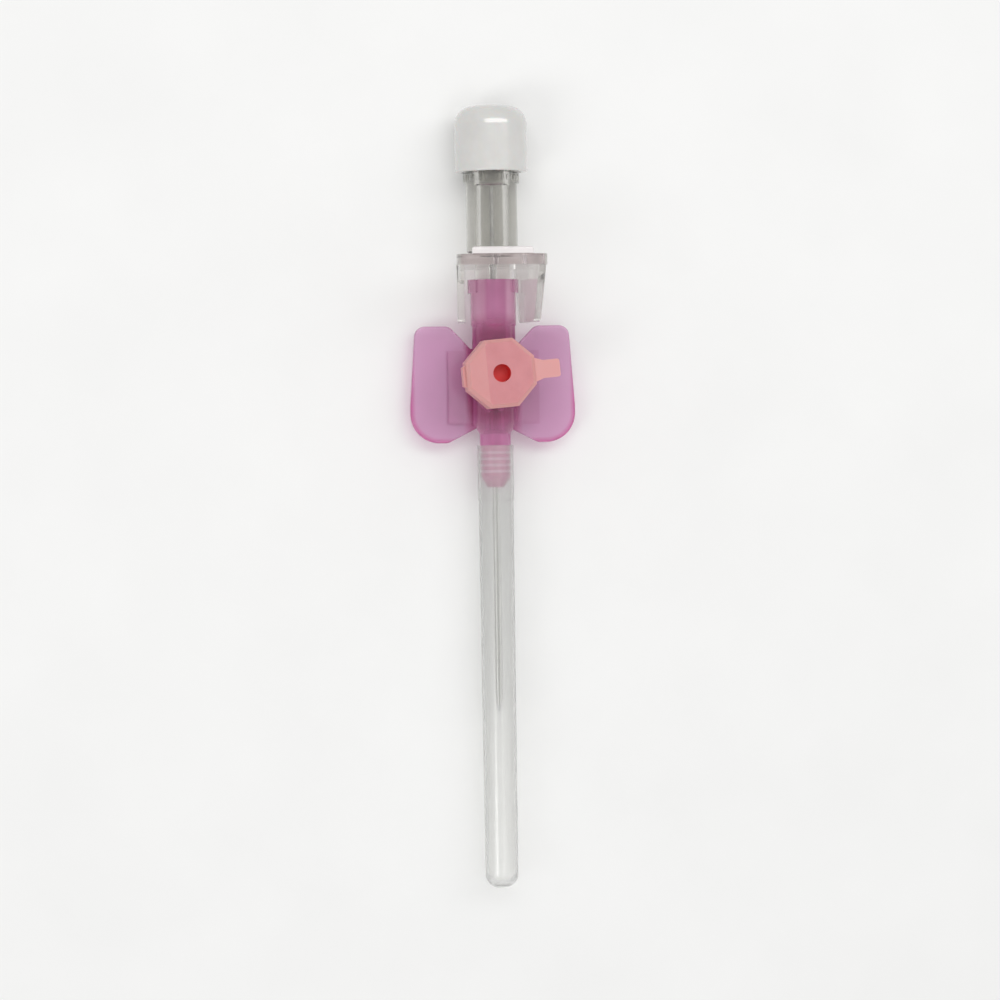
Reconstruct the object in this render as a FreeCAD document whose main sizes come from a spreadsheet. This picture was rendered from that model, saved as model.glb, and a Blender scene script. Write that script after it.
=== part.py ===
import FreeCAD, Part
import math
import os
import re
import Sketcher

# Peripheral iv cannula, 20 gauge, with wings, an injection port on top, a steel introducer needle in a
# clear needle hub, a safety clip, a lock cap on the flash chamber and a clear protective sheath.
#
# Frame, in millimetres: the origin is on the flat underside of the wings, right below the port. +Z runs up
# the port, +Y along the cannula towards the lock cap, -Y towards the needle tip. The long axis of every
# turned piece lies axis_height above the origin, and each body's own origin lies on that axis.

doc = FreeCAD.newDocument("iv_cannula")
sheet = doc.addObject("Spreadsheet::Sheet", "Sizes")

SIZES = [
    ("axis_height", 2.9, "long axis above the underside of the wings"),
    ("running_gap", 0.06, "radial gap where one piece slides or turns on another"),
    ("seat_gap", 0.03, "gap where a piece is seated for good"),
    ("face_gap", 0.05, "gap between end faces that meet"),
    ("bond", 0.2, "how far a feature reaches into the one that carries it"),
    ("bore_step", 0.2, "short cone between two bores"),
    ("lock_taper", 0.03, "radius lost per millimetre, the 6 % taper of medical sockets"),
    ("socket_radius", 2.14, "mouth radius of every taper socket"),
    ("lug_radius", 3.9, "outer radius over the lock lugs"),
    ("lug_length", 2.0, "length of a lock lug along the axis"),
    ("lug_angle", 80.0, "arc that one lock lug covers"),
    # catheter hub
    ("hub_rear", 14.4, "rear mouth of the catheter hub, from the port axis"),
    ("hub_socket_depth", 6.8, "tapered length of the rear socket"),
    ("barrel_radius", 3.45, "outer radius round the rear socket"),
    ("waist_radius", 3.3, "outer radius from the socket's end to the front shoulder"),
    ("waist_cone", 0.3, "cone from the barrel down to the waist"),
    ("shoulder_front", 7.4, "front end of the barrel, ahead of the port axis"),
    ("shoulder_length", 1.6, "cone from the barrel down to the spigot"),
    ("spigot_radius", 2.36, "radius of the spigot that stays bare ahead of the shoulder"),
    ("spigot_bare", 1.7, "length of spigot between the shoulder and the sheath"),
    ("nose_seat_length", 4.7, "length of nose that the sheath grips"),
    ("nose_cone_length", 1.7, "cone at the front of the nose"),
    ("nose_tip_radius", 1.25, "radius of the nose where the tube leaves it"),
    ("nose_ring_depth", 0.22, "depth of the ring grooves in the nose"),
    ("nose_ring_width", 0.4, "width of a ring groove"),
    ("nose_ring_pitch", 0.95, "spacing of the ring grooves"),
    ("bore_floor", 4.4, "front end of the wide bore, ahead of the port axis"),
    ("funnel_length", 1.2, "funnel that leads the needle into the ferrule"),
    # wings
    ("wing_span", 25.3, "width over both wings"),
    ("wing_rear_span", 23.6, "width over both wings at their rear edge"),
    ("wing_rear", 7.5, "rear edge of the wings, behind the port axis"),
    ("wing_front", 10.3, "front edge of the wings, ahead of the port axis"),
    ("wing_widest", 4.6, "widest point of the wings, ahead of the port axis"),
    ("wing_thickness", 1.0, "thickness of a wing"),
    ("wing_front_corner", 4.5, "radius of the front outer corners"),
    ("wing_rear_corner", 1.6, "radius of the rear corners"),
    ("wing_edge_round", 0.3, "rounding of the upper rim"),
    ("notch_outer", 6.6, "where a notch leaves the wing's rear edge, from the long axis"),
    ("notch_rear", 4.0, "inner end of a notch, behind the port axis"),
    ("wing_front_edge", 5.75, "length of a wing's straight front edge, up to its slant to the nose"),
    ("front_root", 8.0, "where the front edge meets the hub, ahead of the port axis"),
    ("web_half_width", 6.9, "half width of the thick web at the root of the wings"),
    ("web_thickness", 1.9, "thickness of that web"),
    ("web_front", 7.3, "front edge of the web, ahead of the port axis"),
    ("web_rear", 3.6, "rear edge of the web, behind the port axis"),
    # injection port
    ("pedestal_radius", 4.7, "radius of the port's foot on the web"),
    ("pedestal_top_radius", 3.6, "radius of the port's foot under the cap ring"),
    ("pedestal_top", 3.55, "top of the port's foot above the long axis"),
    ("pedestal_rim", 0.3, "upright rim at the bottom of the foot"),
    ("pedestal_neck_radius", 3.85, "radius where the foot's cone ends"),
    ("pedestal_neck_drop", 2.4, "end of that cone below the foot's top"),
    ("chimney_radius", 3.1, "outer radius of the port tube"),
    ("chimney_top", 7.0, "mouth of the port above the long axis"),
    ("bead_rise", 0.18, "retaining bead round the port tube"),
    ("bead_height", 0.5, "height of that bead"),
    ("bead_drop", 0.4, "bead below the mouth"),
    ("port_socket_depth", 4.4, "depth of the port's taper"),
    ("port_hole_radius", 1.4, "hole from the port into the bore"),
    # cap of the port
    ("cap_turn", 5.0, "how far the cap stands turned about the port"),
    ("cap_flats", 10.3, "octagon of the cap across its flats"),
    ("ring_height", 2.05, "height of the ring that turns on the port"),
    ("lid_top", 9.3, "top of the lid above the long axis"),
    ("lid_bevel", 0.55, "bevel round the lid's top"),
    ("lid_slope_drop", 1.15, "how far the lid's top falls towards its hinge"),
    ("lid_recess", 1.5, "depth of the hollow under the lid"),
    ("lid_recess_radius", 3.6, "radius of that hollow"),
    ("plug_reach", 1.8, "how far the lid's plug reaches into the port"),
    ("plug_end_radius", 1.3, "radius of the plug's end"),
    ("eye_radius", 1.36, "radius of the blind hole in the lid"),
    ("eye_depth", 2.7, "depth of that hole"),
    ("tab_end", 8.9, "end of the thumb tab, from the port axis"),
    ("tab_half_width", 1.36, "half width of the tab"),
    ("tab_root_half_width", 1.8, "half width of the tab where it leaves the lid"),
    ("tab_root_end", 6.4, "where the tab's flare ends, from the port axis"),
    ("tab_thickness", 1.4, "thickness of the tab"),
    ("tab_corner", 0.4, "rounding of the tab's corners"),
    ("ring_chamfer", 0.35, "chamfer round the ring's underside"),
    ("hinge_reach", 0.45, "how far the hinge lip stands out of the octagon"),
    ("hinge_half_width", 1.7, "half width of the hinge lip"),
    ("hinge_lip_height", 1.1, "height of each hinge lip"),
    ("hinge_lip_taper", 0.3, "how much narrower a lip is at its end, on each side"),
    # valve, tube and ferrule
    ("valve_bore", 1.3, "inner radius of the valve sleeve"),
    ("valve_rear", 3.0, "rear end of the valve sleeve, behind the port axis"),
    ("valve_front", 4.2, "front end of the valve sleeve, ahead of the port axis"),
    ("valve_chamfer", 0.12, "chamfer at the ends of the sleeve's bore"),
    ("tube_radius", 0.55, "outer radius of the catheter tube"),
    ("tube_wall", 0.12, "wall of the catheter tube"),
    ("catheter_length", 33.0, "catheter tube ahead of the hub"),
    ("tube_taper_length", 3.5, "tapered length at the tube's tip"),
    ("tube_tip_wall", 0.045, "wall at the tube's tip"),
    ("ferrule_radius", 0.8, "outer radius of the steel ferrule"),
    ("ferrule_length", 5.0, "length of the ferrule"),
    ("ferrule_cone", 0.9, "coned length at the ferrule's front"),
    ("ferrule_wall", 0.12, "wall of the ferrule"),
    ("flare_lead", 0.4, "length over which the tube widens to the ferrule's lip"),
    # needle
    ("needle_radius", 0.36, "outer radius of the needle"),
    ("needle_bore", 0.25, "inner radius of the needle"),
    ("needle_stick_out", 1.3, "needle tip ahead of the tube's tip"),
    ("needle_rear", 28.5, "rear end of the needle, behind the port axis"),
    ("bevel_angle", 15.0, "grind of the needle point against its axis"),
    ("lancet_angle", 24.0, "grind of the two side facets against the axis"),
    ("lancet_turn", 35.0, "how far the side facets are turned about the axis"),
    ("lancet_length", 1.1, "length of the side facets"),
    ("crimp_rise", 0.045, "swelling that the clip catches on"),
    ("crimp_setback", 3.2, "that swelling behind the needle tip"),
    ("crimp_length", 0.5, "length of the swelling"),
    # safety clip
    ("clip_rear", 7.3, "rear face of the clip, behind the port axis"),
    ("clip_length", 3.9, "length of the clip"),
    ("clip_width", 1.5, "width of the clip's strip"),
    ("clip_half_height", 1.5, "half height of the clip's base"),
    ("clip_sheet", 0.2, "thickness of the clip's strip"),
    ("clip_lip_height", 0.5, "height of the lips that ride on the needle"),
    ("clip_hole_gap", 0.025, "gap between the needle and the clip's hole"),
    # needle hub
    ("needle_nose_front", 7.9, "front end of the needle hub's taper nose, behind the port axis"),
    ("hub_neck_radius", 2.7, "radius of the neck between the catheter hub and the grip plate"),
    ("plate_front", 16.2, "front face of the grip plate, behind the port axis"),
    ("plate_thickness", 1.6, "thickness of the grip plate"),
    ("plate_lean", 8.0, "how far the plate's sides and the cheeks lean out"),
    ("plate_rise", 12.5, "top of the grip plate above the long axis"),
    ("plate_drop", 5.1, "bottom of the grip plate below the long axis"),
    ("plate_top_corner", 1.6, "radius of the plate's top corners"),
    ("plate_low_corner", 1.0, "radius of the plate's bottom corners"),
    ("cheek_front", 7.8, "front end of the side cheeks, behind the port axis"),
    ("cheek_thickness", 1.1, "thickness of a side cheek"),
    ("cheek_gap", 0.3, "gap between a cheek and the lugs of the catheter hub"),
    ("cheek_front_rise", 7.0, "top of a cheek's front end above the long axis"),
    ("cheek_front_drop", 1.4, "bottom of a cheek's front end below the long axis"),
    ("cheek_rear_rise", 10.5, "top of a cheek at the plate above the long axis"),
    ("cheek_rear_drop", 3.8, "bottom of a cheek at the plate below the long axis"),
    ("cheek_corner", 1.2, "rounding of the corners at a cheek's front end"),
    ("grip_rib_count", 4, "grip ribs across the plate's rear face"),
    ("grip_rib_pitch", 1.3, "spacing of the grip ribs"),
    ("grip_rib_height", 0.35, "how far a grip rib stands out"),
    ("grip_rib_width", 0.5, "width of a grip rib"),
    ("grip_rib_lowest", 5.9, "lowest grip rib above the long axis"),
    ("grip_rib_half_length", 4.4, "half length of a grip rib"),
    ("grip_lip_reach", 1.1, "how far the lip along the plate's top stands out to the rear"),
    ("grip_lip_height", 1.0, "height of that lip"),
    ("grip_lip_half_length", 4.6, "half length of that lip"),
    ("grip_lip_round", 0.4, "rounding of that lip"),
    ("chamber_radius", 3.9, "outer radius of the flash chamber"),
    ("chamber_bore", 1.7, "inner radius of the flash chamber"),
    ("chamber_front", 18.6, "front end of the chamber's bore, behind the port axis"),
    ("chamber_cone", 0.6, "cone at the front of that bore"),
    ("chamber_shoulder", 0.9, "cone from the grip plate out to the chamber"),
    ("glue_well_radius", 0.86, "mouth of the well that holds the needle's glue"),
    ("glue_well_depth", 1.1, "depth of that well"),
    ("collar_front", 29.0, "front face of the chamber's collar, behind the port axis"),
    ("collar_length", 1.7, "length of the collar"),
    ("collar_radius", 4.25, "radius of the collar"),
    ("collar_notch_depth", 0.3, "depth of the notches round the collar"),
    ("collar_notch_width", 0.8, "width of a notch"),
    ("collar_notch_length", 0.85, "length of a notch along the axis"),
    ("collar_notch_count", 16, "notches round the collar"),
    ("chamber_rear", 36.4, "rear mouth of the chamber, behind the port axis"),
    ("chamber_end_radius", 3.3, "outer radius of the chamber inside the lock cap"),
    # vent insert, filter and lock cap
    ("insert_reach", 7.0, "how far the vent insert reaches into the chamber"),
    ("insert_room", 0.5, "free length ahead of the vent insert"),
    ("insert_flange_radius", 3.0, "radius of the insert's flange"),
    ("insert_flange_length", 0.95, "length of that flange"),
    ("insert_bore", 1.1, "bore of the insert"),
    ("filter_radius", 1.65, "radius of the filter disc"),
    ("filter_thickness", 0.75, "thickness of the filter disc"),
    ("lock_cap_radius", 5.55, "outer radius of the lock cap"),
    ("lock_cap_length", 10.1, "length of the lock cap"),
    ("lock_cap_shoulder", 2.9, "rounding of the cap's closed end"),
    ("lock_cap_bore", 4.35, "inner radius over the lock lugs"),
    ("lock_cap_lead", 0.3, "widening at the cap's mouth"),
    ("lock_cap_rim", 0.25, "rounding of the cap's open rim"),
    ("vent_space_radius", 2.4, "radius of the air space behind the filter"),
    ("vent_space_depth", 1.8, "depth of that air space"),
    # protective sheath
    ("sheath_length", 67.2, "length of the sheath"),
    ("sheath_mouth_radius", 2.74, "outer radius of the sheath's mouth"),
    ("sheath_end_radius", 2.5, "outer radius of the sheath ahead of its domed end"),
    ("sheath_wall", 0.38, "wall of the sheath"),
    ("sheath_collar_length", 8.3, "length of the thicker mouth"),
    ("sheath_collar_rise", 0.08, "how far the mouth stands proud"),
    ("sheath_dome", 2.1, "rounding of the closed end"),
]

for row, (alias, size, note) in enumerate(SIZES, start=1):
    sheet.set(f"A{row}", alias)
    sheet.set(f"B{row}", str(size))
    sheet.setAlias(f"B{row}", alias)
    sheet.set(f"C{row}", note)
doc.recompute()

# Places that follow from the sizes. Each is a formula in the sheet's words or in an earlier place's.
PLACES = {}


def bind(formula):
    """A formula in the words of the sheet and of PLACES, as an expression of the document."""
    def word(match):
        name = match.group(0)
        if name in PLACES:
            return PLACES[name]
        return f"Sizes.{name}" if name in ALIASES else name
    return re.sub(r"[a-z][a-z0-9_]*", word, str(formula))


def place(name, formula):
    PLACES[name] = f"({bind(formula)})"


def value(formula):
    """The number that a formula comes to."""
    return float(sheet.evalExpression(bind(formula)))


ALIASES = {alias for alias, _, _ in SIZES}

place("socket_end", "hub_rear - hub_socket_depth")
place("bore_radius", "socket_radius - lock_taper * hub_socket_depth")
place("spigot_front", "0 - shoulder_front - shoulder_length")
place("nose_seat_rear", "spigot_front - spigot_bare")
place("nose_seat_radius", "spigot_radius - running_gap")
place("nose_seat_front", "nose_seat_rear - nose_seat_length")
place("nose_front", "nose_seat_front - nose_cone_length")
place("tube_front", "nose_front - catheter_length")
place("tube_bore", "tube_radius - tube_wall")
place("flare_bore", "ferrule_radius + seat_gap")
place("flare_radius", "flare_bore + tube_wall")
place("ferrule_lip", "tube_bore + ferrule_wall")
place("flare_lip_bore", "ferrule_lip + seat_gap")
place("flare_lip_radius", "flare_lip_bore + tube_wall")
place("ferrule_rear", "0 - bore_floor - funnel_length - face_gap")
place("ferrule_front", "ferrule_rear - ferrule_length")
place("needle_front", "tube_front - needle_stick_out")
place("crimp_rear", "needle_front + crimp_setback")
place("clip_front", "clip_rear - clip_length")
place("clip_hole", "needle_radius + clip_hole_gap")
place("clip_lip", "crimp_rise + needle_radius + clip_hole_gap")
place("nose_fit", "socket_radius - running_gap")
place("plate_rear", "plate_front + plate_thickness")
place("plate_slant", "tan(plate_lean * 1 deg)")
place("plate_half_width", "(lug_radius + cheek_gap + cheek_thickness) / cos(plate_lean * 1 deg)")
place("plate_top_half_width", "plate_half_width + plate_rise * plate_slant")
place("plate_low_half_width", "plate_half_width - plate_drop * plate_slant")
place("collar_rear", "collar_front + collar_length")
place("insert_flange_front", "chamber_rear + face_gap")
place("insert_front", "chamber_rear - insert_reach")
place("insert_rear", "insert_flange_front + insert_flange_length")
place("lock_cap_front", "collar_rear + face_gap")
place("lock_cap_rear", "lock_cap_front + lock_cap_length")
place("ring_bottom", "pedestal_top + face_gap")
place("ring_top", "ring_bottom + ring_height")
place("lid_bottom", "ring_top + face_gap")
place("octagon_half", "cap_flats / 2")
place("octagon_corner", "cap_flats / 2 * tan(22.5 deg)")
place("front_slant", "wing_span / 2 - wing_front_edge")
place("web_top", "web_thickness - axis_height")
place("sheath_mouth", "nose_seat_rear - face_gap")
place("sheath_bore", "spigot_radius")
place("sheath_front", "sheath_mouth - sheath_length")


def start_body(label):
    """A sub-part whose own origin lies on the long axis, below or above the port."""
    body = doc.addObject("PartDesign::Body", label)
    body.Label = label
    body.setExpression("Placement.Base.z", bind("axis_height"))
    return body


def sketch_on(body, role, name, offset="0", turn=None):
    """A sketch on one of the body's own origin planes, moved along that plane's normal by offset."""
    plane = next(item for item in body.Origin.OriginFeatures if item.Role == role)
    sketch = body.newObject("Sketcher::SketchObject", name)
    sketch.AttachmentSupport = [(plane, "")]
    sketch.MapMode = "FlatFace"
    sketch.setExpression("AttachmentOffset.Base.z", bind(offset))
    if turn is not None:
        sketch.AttachmentOffset = FreeCAD.Placement(
            sketch.AttachmentOffset.Base, FreeCAD.Rotation(FreeCAD.Vector(1, 0, 0), value(turn))
        )
    return sketch


def pin(sketch, edge, end, across, up):
    """Ties one end of a sketch's edge to the sheet, across and up from the sketch's origin."""
    for kind, formula in (("DistanceX", across), ("DistanceY", up)):
        rule = Sketcher.Constraint(kind, -1, 1, edge, end, value(formula))
        sketch.setExpression(f"Constraints[{sketch.addConstraint(rule)}]", bind(formula))


def outline(sketch, corners):
    """A closed outline of straight edges through corners, each a pair of formulas."""
    first = sketch.GeometryCount
    points = [FreeCAD.Vector(value(across), value(up), 0) for across, up in corners]
    for here, there in zip(points, points[1:] + points[:1]):
        sketch.addGeometry(Part.LineSegment(here, there), False)
    for index, (across, up) in enumerate(corners):
        following = first + (index + 1) % len(corners)
        sketch.addConstraint(Sketcher.Constraint("Coincident", first + index, 2, following, 1))
        pin(sketch, first + index, 1, across, up)


def circle(sketch, across, up, radius):
    """A circle whose centre and radius are formulas."""
    centre = FreeCAD.Vector(value(across), value(up), 0)
    ring = Part.Circle(centre, FreeCAD.Vector(0, 0, 1), value(radius))
    index = sketch.addGeometry(ring, False)
    pin(sketch, index, 3, across, up)
    rule = sketch.addConstraint(Sketcher.Constraint("Radius", index, value(radius)))
    sketch.setExpression(f"Constraints[{rule}]", bind(radius))


def checked(body, before, grows):
    """Stops where a feature left its body's volume as it was, or changed it the wrong way."""
    doc.recompute()
    after = body.Shape.Volume
    if (after <= before) if grows else (after >= before):
        raise RuntimeError(f"{body.Label}: {body.Tip.Label} changed nothing")


def volume(body):
    return body.Shape.Volume if body.Tip and not body.Shape.isNull() else 0.0


def turned(body, name, corners, role="YZ_Plane", axis="H_Axis", cut=False):
    """A full turn of a closed profile about a sketch axis, added to the body or cut out of it."""
    before = volume(body)
    sketch = sketch_on(body, role, f"{name}_profile")
    outline(sketch, corners)
    feature = body.newObject("PartDesign::Groove" if cut else "PartDesign::Revolution", name)
    feature.Profile = sketch
    feature.ReferenceAxis = (sketch, [axis])
    feature.Angle = 360
    checked(body, before, not cut)
    return feature


def lengthened(body, name, sketch, length, cut=False, midplane=False, reverse=False):
    """A pad or a pocket of a sketch."""
    before = volume(body)
    feature = body.newObject("PartDesign::Pocket" if cut else "PartDesign::Pad", name)
    feature.Profile = sketch
    feature.setExpression("Length", bind(length))
    feature.Midplane = midplane
    feature.Reversed = reverse
    checked(body, before, not cut)
    return feature


def patterned(body, kind, name, features, **settings):
    """A mirror or pattern of features, made the body's tip so that it counts."""
    before = volume(body)
    grows = not any(item.TypeId.endswith(("Groove", "Pocket")) for item in features)
    pattern = body.newObject(f"PartDesign::{kind}", name)
    pattern.Originals = features
    for key, setting in settings.items():
        setattr(pattern, key, setting)
    body.Tip = pattern
    checked(body, before, grows)
    return pattern


def edges_where(body, test):
    """Names of the edges that pass a test, in the body's own frame."""
    return [f"Edge{n}" for n, edge in enumerate(body.Tip.Shape.Edges, start=1) if test(edge)]


def softened(body, name, size, test, kind="Fillet"):
    """A fillet or chamfer on the body's edges that pass a test."""
    names = edges_where(body, test)
    if not names:
        raise RuntimeError(f"{body.Label}: no edge for {name}")
    before = body.Tip
    feature = body.newObject(f"PartDesign::{kind}", name)
    feature.Base = (before, names)
    feature.setExpression("Radius" if kind == "Fillet" else "Size", bind(size))
    doc.recompute()
    if not feature.isValid() or feature.Shape.isNull():
        raise RuntimeError(f"{body.Label}: {name} failed on {names}")
    return feature


def origin_axis(body, role):
    return next(item for item in body.Origin.OriginFeatures if item.Role == role)


def near(number, formula, slack=0.01):
    return abs(number - value(formula)) < slack


def upright(edge):
    """True for a straight edge that runs along Z."""
    ends = [vertex.Point for vertex in edge.Vertexes]
    return len(ends) == 2 and abs(ends[0].x - ends[1].x) + abs(ends[0].y - ends[1].y) < 1e-6


def stands_at(edge, across, along):
    """True for an upright edge at a distance across from the long axis and along it."""
    return upright(edge) and near(abs(edge.Vertexes[0].X), across) and near(edge.Vertexes[0].Y, along)


def lock_lugs(body, name, mouth, root):
    """Two lugs on opposite sides of a socket's mouth, each an arc of a ring."""
    before = volume(body)
    sketch = sketch_on(body, "XY_Plane", f"{name}_profile")
    outline(sketch, [
        (root, f"{mouth} - lug_length"),
        (root, mouth),
        ("lug_radius", mouth),
        ("lug_radius", f"{mouth} - lug_length"),
    ])
    lug = body.newObject("PartDesign::Revolution", name)
    lug.Profile = sketch
    lug.ReferenceAxis = (sketch, ["V_Axis"])
    lug.setExpression("Angle", bind("lug_angle"))
    lug.Midplane = True
    checked(body, before, True)
    patterned(
        body, "PolarPattern", f"{name}_pair", [lug],
        Axis=(origin_axis(body, "Y_Axis"), [""]), Angle=360, Occurrences=2,
    )


def make_catheter_hub():
    """Pink moulding: taper socket, barrel, wings, injection port and the nose that holds the tube."""
    body = start_body("catheter_hub")
    turned(body, "barrel", [
        ("hub_rear", "0"),
        ("hub_rear", "barrel_radius"),
        ("socket_end", "barrel_radius"),
        ("socket_end - waist_cone", "waist_radius"),
        ("0 - shoulder_front", "waist_radius"),
        ("spigot_front", "spigot_radius"),
        ("nose_seat_rear", "spigot_radius"),
        ("nose_seat_rear", "nose_seat_radius"),
        ("nose_seat_front", "nose_seat_radius"),
        ("nose_front", "nose_tip_radius"),
        ("nose_front", "0"),
    ])
    lock_lugs(body, "rear_lug", "hub_rear", "waist_radius")
    add_wings(body)
    flatten_belly(body)
    turned(body, "port_tube", [
        ("0", "web_top - bond"),
        ("pedestal_radius", "web_top - bond"),
        ("pedestal_radius", "web_top + pedestal_rim"),
        ("pedestal_neck_radius", "pedestal_top - pedestal_neck_drop"),
        ("pedestal_top_radius", "pedestal_top"),
        ("chimney_radius", "pedestal_top"),
        ("chimney_radius", "chimney_top - bead_drop - bead_height"),
        ("chimney_radius + bead_rise", "chimney_top - bead_drop - bead_height / 2"),
        ("chimney_radius", "chimney_top - bead_drop"),
        ("chimney_radius", "chimney_top"),
        ("0", "chimney_top"),
    ], axis="V_Axis")
    turned(body, "bore", [
        ("hub_rear + face_gap", "0"),
        ("hub_rear + face_gap", "socket_radius + lock_taper * face_gap"),
        ("socket_end", "bore_radius"),
        ("0 - bore_floor", "bore_radius"),
        ("0 - bore_floor - funnel_length", "flare_radius + seat_gap"),
        ("ferrule_front + ferrule_cone", "flare_radius + seat_gap"),
        ("ferrule_front", "flare_lip_radius + seat_gap"),
        ("ferrule_front - flare_lead", "tube_radius + seat_gap"),
        ("nose_front - face_gap", "tube_radius + seat_gap"),
        ("nose_front - face_gap", "0"),
    ], cut=True)
    turned(body, "port_bore", [
        ("0", "bore_radius / 2"),
        ("port_hole_radius", "bore_radius / 2"),
        ("port_hole_radius", "chimney_top - port_socket_depth - bore_step"),
        ("socket_radius - lock_taper * port_socket_depth", "chimney_top - port_socket_depth"),
        ("socket_radius", "chimney_top"),
        ("0", "chimney_top"),
    ], axis="V_Axis", cut=True)
    first_ring = "(nose_seat_rear - nose_ring_pitch)"
    ring = turned(body, "nose_ring", [
        (first_ring, "nose_seat_radius - nose_ring_depth"),
        (first_ring, "nose_seat_radius + running_gap"),
        (f"{first_ring} - nose_ring_width", "nose_seat_radius + running_gap"),
        (f"{first_ring} - nose_ring_width", "nose_seat_radius - nose_ring_depth"),
    ], cut=True)
    rings = patterned(
        body, "LinearPattern", "nose_rings", [ring],
        Direction=(origin_axis(body, "Y_Axis"), [""]), Reversed=True, Occurrences=4,
        Length=3 * value("nose_ring_pitch"),
    )
    rings.setExpression("Length", bind("nose_ring_pitch * 3"))
    return body


def add_wings(body):
    """The flat wings and the thick web that carries them, one half drawn and mirrored."""
    sketch = sketch_on(body, "XY_Plane", "wing_outline", "0 - axis_height")
    outline(sketch, [
        ("0", "notch_rear"),
        ("waist_radius", "notch_rear"),
        ("notch_outer", "wing_rear"),
        ("wing_rear_span / 2", "wing_rear"),
        ("wing_span / 2", "0 - wing_widest"),
        ("wing_span / 2", "0 - wing_front"),
        ("front_slant", "0 - wing_front"),
        ("spigot_radius", "0 - front_root"),
        ("0", "0 - front_root"),
    ])
    wing = lengthened(body, "wing", sketch, "wing_thickness")
    sketch = sketch_on(body, "XY_Plane", "web_outline", "0 - axis_height")
    outline(sketch, [
        ("0", "notch_rear"),
        ("waist_radius", "notch_rear"),
        ("web_half_width", "web_rear"),
        ("web_half_width", "0 - web_front"),
        ("0", "0 - web_front"),
    ])
    web = lengthened(body, "web", sketch, "web_thickness")
    patterned(body, "Mirrored", "both_wings", [wing, web], MirrorPlane=(origin_axis(body, "YZ_Plane"), [""]))
    softened(body, "front_corners", "wing_front_corner",
             lambda edge: stands_at(edge, "wing_span / 2", "0 - wing_front"))
    softened(body, "rear_corners", "wing_rear_corner",
             lambda edge: stands_at(edge, "wing_rear_span / 2", "wing_rear")
             or stands_at(edge, "notch_outer", "wing_rear")
             or stands_at(edge, "front_slant", "0 - wing_front"))
    softened(body, "wing_rim", "wing_edge_round",
             lambda edge: near(edge.BoundBox.ZMin, "wing_thickness - axis_height")
             and near(edge.BoundBox.ZMax, "wing_thickness - axis_height")
             and max(abs(edge.BoundBox.XMin), abs(edge.BoundBox.XMax)) > value("web_half_width + 0.01"))


def flatten_belly(body):
    """Cuts the barrel off level with the underside of the wings, where it would hang below them."""
    if value("waist_radius - axis_height") <= 0:
        return
    sketch = sketch_on(body, "XY_Plane", "belly_outline", "0 - axis_height")
    outline(sketch, [
        ("0 - waist_radius", "notch_rear"),
        ("waist_radius", "notch_rear"),
        ("waist_radius", "0 - front_root"),
        ("0 - waist_radius", "0 - front_root"),
    ])
    lengthened(body, "belly", sketch, "waist_radius - axis_height + face_gap", cut=True)


def make_valve_sleeve():
    """Silicone sleeve that covers the port's hole from inside the bore."""
    body = start_body("valve_sleeve")
    turned(body, "sleeve", [
        ("valve_rear", "valve_bore"),
        ("valve_rear", "bore_radius - seat_gap"),
        ("0 - valve_front", "bore_radius - seat_gap"),
        ("0 - valve_front", "valve_bore"),
    ])
    softened(body, "sleeve_ends", "valve_chamfer",
             lambda edge: near(edge.BoundBox.ZMax, "valve_bore"), "Chamfer")
    return body


def make_catheter_tube():
    """Thin tube, flared over the ferrule at the rear and drawn down to the needle at its tip."""
    body = start_body("catheter_tube")
    tip_bore = "(needle_radius + clip_hole_gap)"
    turned(body, "tube", [
        ("tube_front", tip_bore),
        ("tube_front", f"{tip_bore} + tube_tip_wall"),
        ("tube_front + tube_taper_length", "tube_radius"),
        ("ferrule_front - flare_lead", "tube_radius"),
        ("ferrule_front", "flare_lip_radius"),
        ("ferrule_front + ferrule_cone", "flare_radius"),
        ("ferrule_rear", "flare_radius"),
        ("ferrule_rear", "flare_bore"),
        ("ferrule_front + ferrule_cone", "flare_bore"),
        ("ferrule_front", "flare_lip_bore"),
        ("ferrule_front - flare_lead", "tube_bore"),
        ("tube_front + tube_taper_length / 2", "tube_bore"),
    ])
    return body


def make_tube_ferrule():
    """Steel sleeve that the tube's flared end is pressed over."""
    body = start_body("tube_ferrule")
    turned(body, "ferrule", [
        ("ferrule_front", "tube_bore"),
        ("ferrule_front", "ferrule_lip"),
        ("ferrule_front + ferrule_cone", "ferrule_radius"),
        ("ferrule_rear", "ferrule_radius"),
        ("ferrule_rear", "ferrule_radius - ferrule_wall"),
        ("ferrule_front + ferrule_cone", "ferrule_radius - ferrule_wall"),
    ])
    return body


def octagon(sketch):
    """The cap's octagon, with flats towards the tab, the hinge and both ends of the cannula."""
    outline(sketch, [
        ("octagon_half", "octagon_corner"),
        ("octagon_corner", "octagon_half"),
        ("0 - octagon_corner", "octagon_half"),
        ("0 - octagon_half", "octagon_corner"),
        ("0 - octagon_half", "0 - octagon_corner"),
        ("0 - octagon_corner", "0 - octagon_half"),
        ("octagon_corner", "0 - octagon_half"),
        ("octagon_half", "0 - octagon_corner"),
    ])


def turn_with_cap(body):
    """Stands a piece of the cap at the angle that the cap is turned to."""
    body.Placement.Rotation = FreeCAD.Rotation(FreeCAD.Vector(0, 0, 1), value("cap_turn"))
    body.setExpression("Placement.Rotation.Angle", bind("cap_turn"))


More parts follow.
